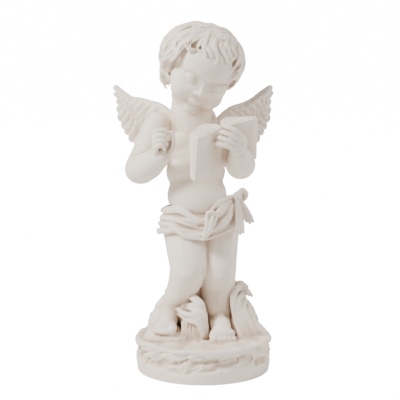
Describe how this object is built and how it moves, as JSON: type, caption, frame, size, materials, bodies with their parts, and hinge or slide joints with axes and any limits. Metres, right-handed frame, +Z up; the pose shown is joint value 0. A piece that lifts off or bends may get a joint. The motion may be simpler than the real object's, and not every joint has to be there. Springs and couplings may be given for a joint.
{
  "type": "statue",
  "caption": "Standing winged cherub with an open book and a loincloth, cast in one piece with its round rocky plinth.",
  "frame": {"origin": "centre of the plinth's flat underside", "axes": "+Z up through the figure's head, -Y out of the figure's front, +X towards the viewer's right"},
  "size_m": [0.24, 0.1986, 0.5011],
  "materials": {
    "white_stone": "matte warm white cast stone"
  },
  "bodies": {
    "root": {"cherub_statue": "white_stone"}
  },
  "joints": []
}
